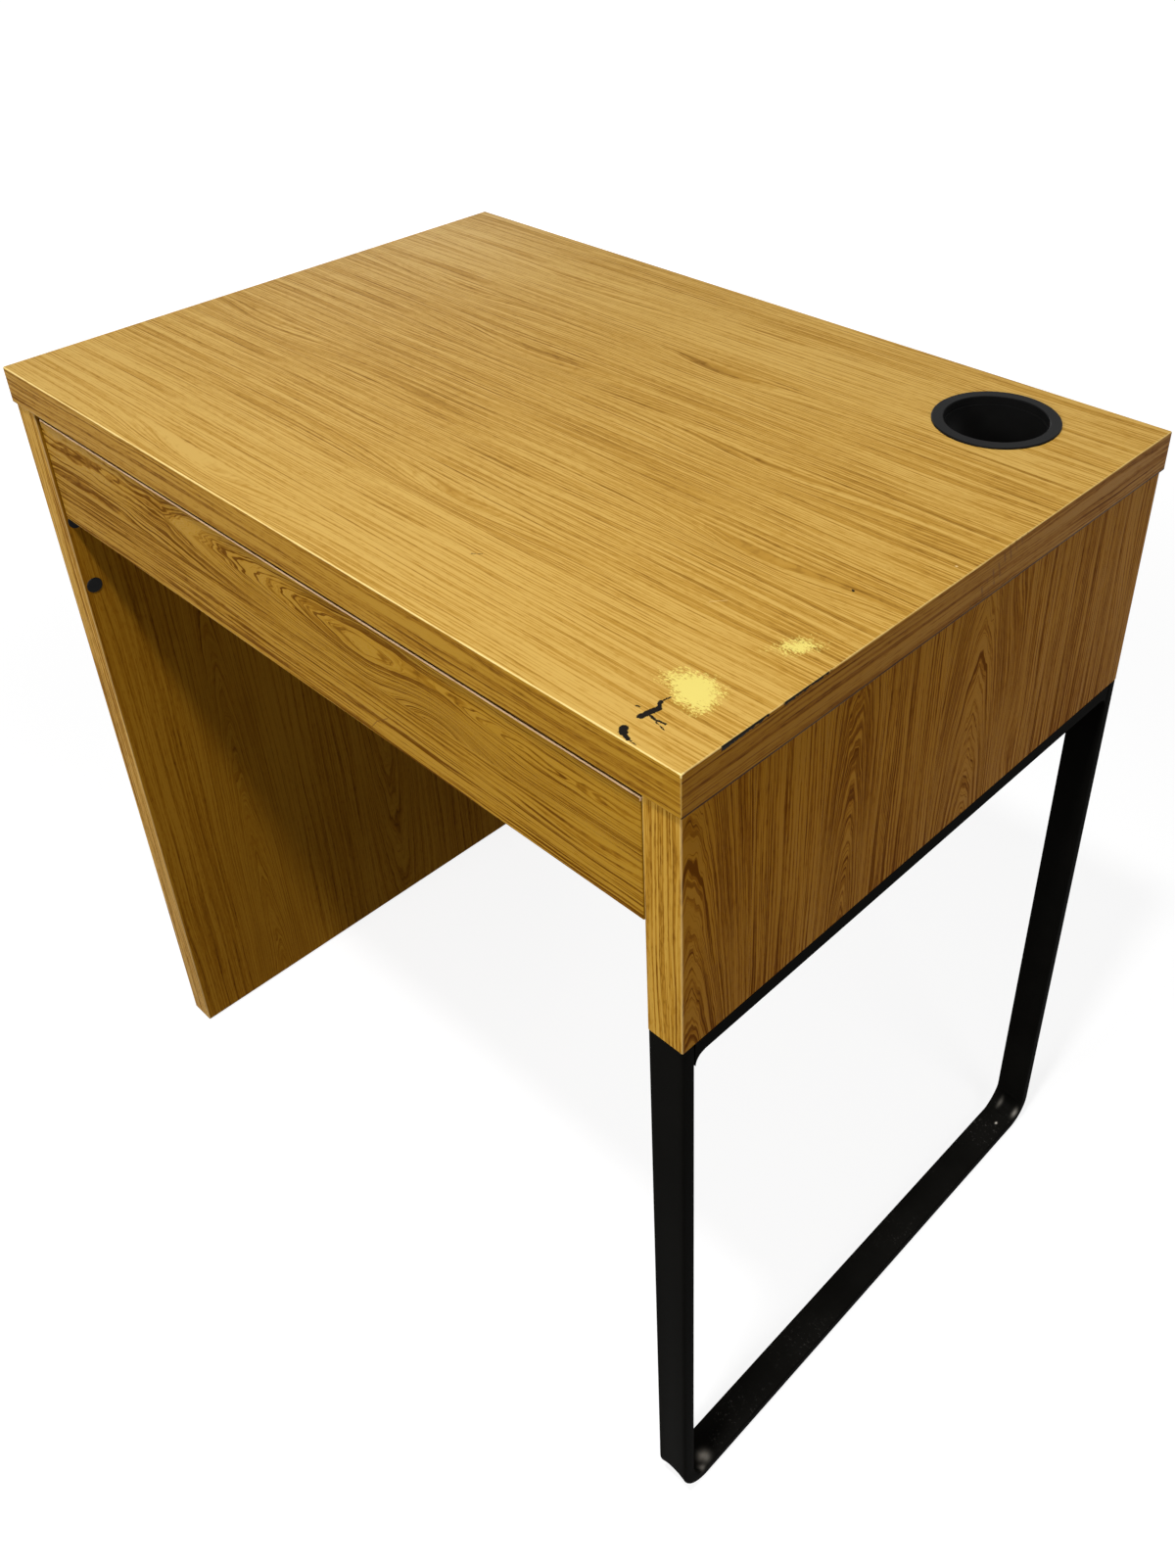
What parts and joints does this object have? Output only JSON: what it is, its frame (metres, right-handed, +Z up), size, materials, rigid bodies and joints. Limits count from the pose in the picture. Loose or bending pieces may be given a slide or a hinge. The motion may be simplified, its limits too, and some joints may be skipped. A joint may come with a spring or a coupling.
{
  "type": "office desk",
  "caption": "Small oak-effect desk with a full side panel, a steel loop leg, a handleless drawer on roller runners, a cable compartment behind it and a round cable outlet in the top.",
  "frame": {"origin": "on the floor under the middle of the top", "axes": "+X to the right of someone facing the drawer, +Y to the back, +Z up; the drawer opens along -Y"},
  "size_m": [0.73, 0.5, 0.7516],
  "materials": {
    "oak_foil": "satin golden oak-effect foil",
    "drawer_board": "matt oak-effect foil",
    "hardboard": "matt hardboard",
    "black_steel": "satin black powder coat",
    "black_plastic": "fine matt grain",
    "glide_plastic": "matt",
    "runner_steel": "epoxy coat",
    "roller_nylon": "smooth nylon",
    "zinc_steel": "zinc plate",
    "beech": "raw fluted beech"
  },
  "bodies": {
    "desk": {"top_panel": "oak_foil", "left_side_panel": "oak_foil", "right_side_board": "oak_foil", "divider_panel": "oak_foil", "compartment_floor": "oak_foil", "rear_panel": "oak_foil", "cable_outlet": "black_plastic", "hole_caps": "black_plastic", "leg_frame": "black_steel", "leg_top_bar": "black_steel", "leg_bolts": "zinc_steel", "leg_bolt_inserts": "zinc_steel", "panel_glides": "glide_plastic", "leg_pads": "black_plastic", "carcass_cam_locks": "zinc_steel", "carcass_cam_bolts": "zinc_steel", "carcass_dowels": "beech", "left_cabinet_runner": "runner_steel", "right_cabinet_runner": "runner_steel", "cabinet_runner_screws": "zinc_steel", "cabinet_roller_pins": "zinc_steel"},
    "drawer": {"drawer_front": "oak_foil", "drawer_left_side": "drawer_board", "drawer_right_side": "drawer_board", "drawer_back": "drawer_board", "drawer_bottom": "hardboard", "drawer_cam_locks": "zinc_steel", "drawer_cam_bolts": "zinc_steel", "drawer_dowels": "beech", "drawer_back_screws": "zinc_steel", "left_drawer_runner": "runner_steel", "right_drawer_runner": "runner_steel", "drawer_runner_screws": "zinc_steel", "drawer_roller_pins": "zinc_steel"},
    "left_front_roller_wheel": {"left_front_roller": "roller_nylon"},
    "right_front_roller_wheel": {"right_front_roller": "roller_nylon"},
    "left_rear_roller_wheel": {"left_rear_roller": "roller_nylon"},
    "right_rear_roller_wheel": {"right_rear_roller": "roller_nylon"}
  },
  "joints": [
    {"name": "drawer_slide", "type": "slide", "parent": "desk", "child": "drawer", "axis": [0, -1, 0], "range_m": [0, 0.24]},
    {"name": "left_front_roller_spin", "type": "hinge", "parent": "desk", "child": "left_front_roller_wheel", "pos_m": [-0.33015, -0.215, 0.6484], "axis": [1, 0, 0], "range_deg": [-10, 1400]},
    {"name": "left_rear_roller_spin", "type": "hinge", "parent": "drawer", "child": "left_rear_roller_wheel", "pos_m": [-0.32735, 0.059, 0.6478], "axis": [1, 0, 0], "range_deg": [-10, 1400]},
    {"name": "right_front_roller_spin", "type": "hinge", "parent": "desk", "child": "right_front_roller_wheel", "pos_m": [0.33015, -0.215, 0.6484], "axis": [1, 0, 0], "range_deg": [-10, 1400]},
    {"name": "right_rear_roller_spin", "type": "hinge", "parent": "drawer", "child": "right_rear_roller_wheel", "pos_m": [0.32735, 0.059, 0.6478], "axis": [1, 0, 0], "range_deg": [-10, 1400]}
  ],
  "couplings": [
    {"joint": "left_front_roller_spin", "follows": "drawer_slide", "rad_per_m": 100},
    {"joint": "left_rear_roller_spin", "follows": "drawer_slide", "rad_per_m": 100},
    {"joint": "right_front_roller_spin", "follows": "drawer_slide", "rad_per_m": 100},
    {"joint": "right_rear_roller_spin", "follows": "drawer_slide", "rad_per_m": 100}
  ]
}
